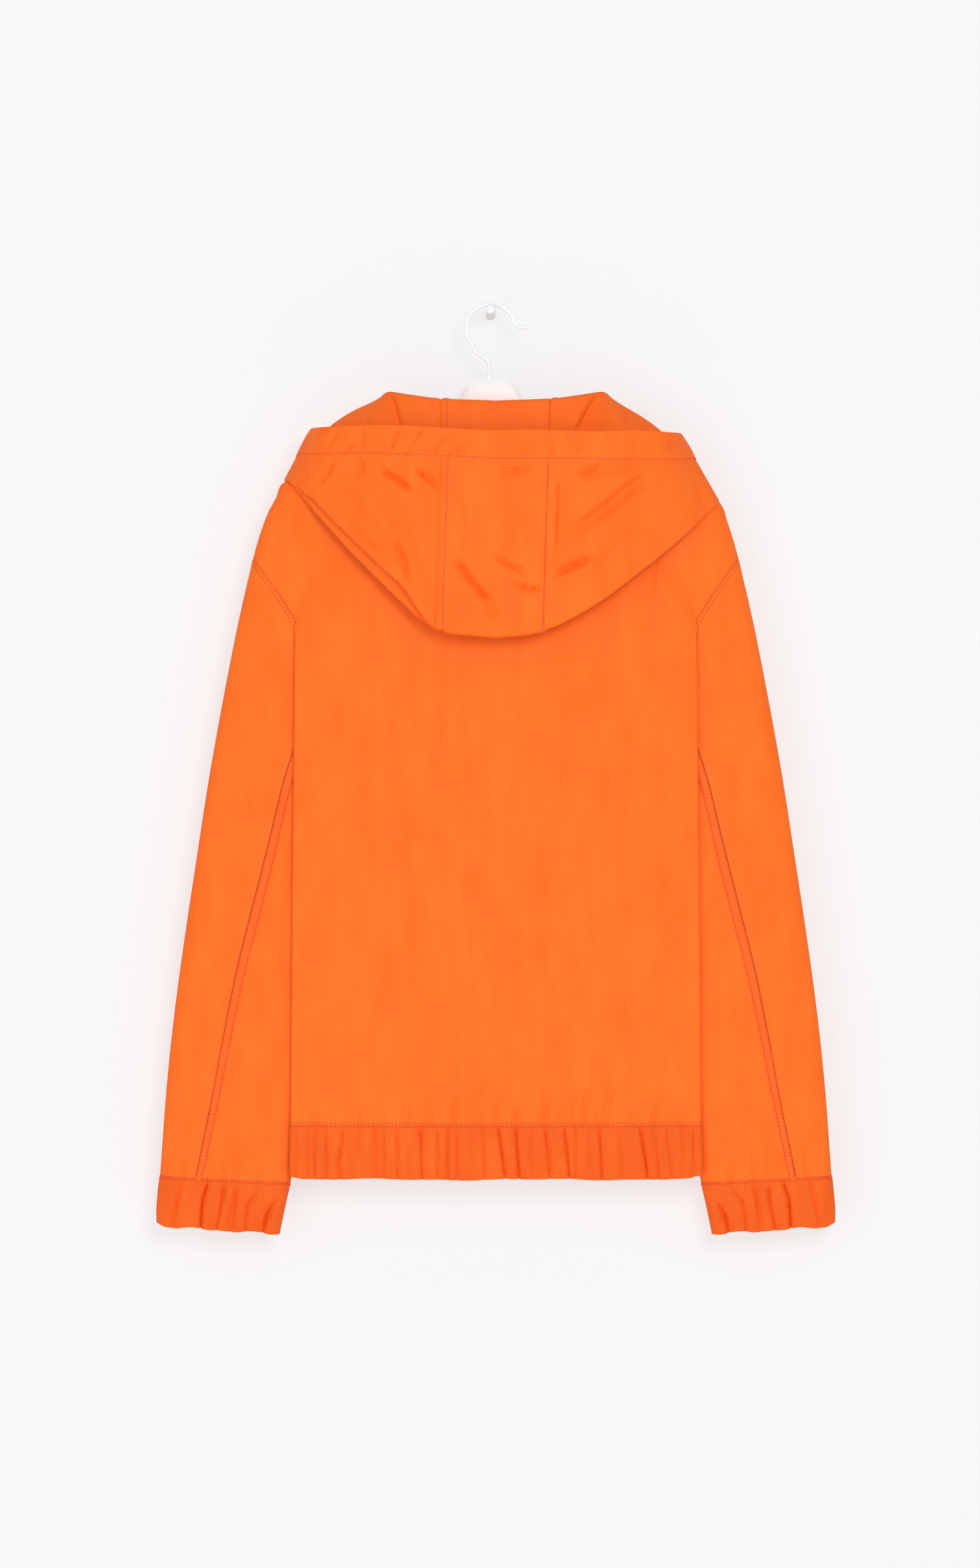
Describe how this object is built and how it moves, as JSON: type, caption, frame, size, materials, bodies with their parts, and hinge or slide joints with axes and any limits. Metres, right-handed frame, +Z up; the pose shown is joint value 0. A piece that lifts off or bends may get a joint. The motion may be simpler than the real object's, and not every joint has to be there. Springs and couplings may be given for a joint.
{
  "type": "hooded jacket on a hanger",
  "caption": "Light woven hooded jacket with a zipped front and gathered cuffs and hem, hung back to the room on a plastic hanger from a wall peg",
  "frame": {"origin": "middle of the peg's flat end, on the wall plane y = 0", "axes": "+Z up; the wall is y = 0 and the room is towards -Y; the jacket's back faces -Y and its zipped front faces +Y, the wall"},
  "size_m": [0.5992, 0.1073, 0.8219],
  "materials": {
    "nylon": "bright orange plain-woven nylon, soft low sheen",
    "zip_tape": "orange woven tape",
    "zip_metal": "orange lacquered zinc",
    "hanger_plastic": "white moulded plastic",
    "hook_wire": "white enamelled wire",
    "peg": "white plastic"
  },
  "bodies": {
    "jacket": {"back_panel": "nylon", "front_left": "nylon", "front_right": "nylon", "sleeve_top_left": "nylon", "sleeve_top_right": "nylon", "sleeve_under_left": "nylon", "sleeve_under_right": "nylon", "cuff_left": "nylon", "cuff_right": "nylon", "hem_band": "nylon", "hood_centre": "nylon", "hood_left": "nylon", "hood_right": "nylon", "hood_casing": "nylon", "zip_tape_left": "zip_tape", "zip_tape_right": "zip_tape", "zip_slider": "zip_metal", "hanger": "hanger_plastic", "hanger_hook": "hook_wire", "wall_peg": "peg"},
    "pull_tab": {"zip_pull": "zip_metal"}
  },
  "joints": [
    {"name": "pull_tab_hinge", "type": "hinge", "parent": "jacket", "child": "pull_tab", "pos_m": [0.0045, -0.01865, -0.17205], "axis": [1, 0, 0], "range_deg": [0, 40]}
  ]
}
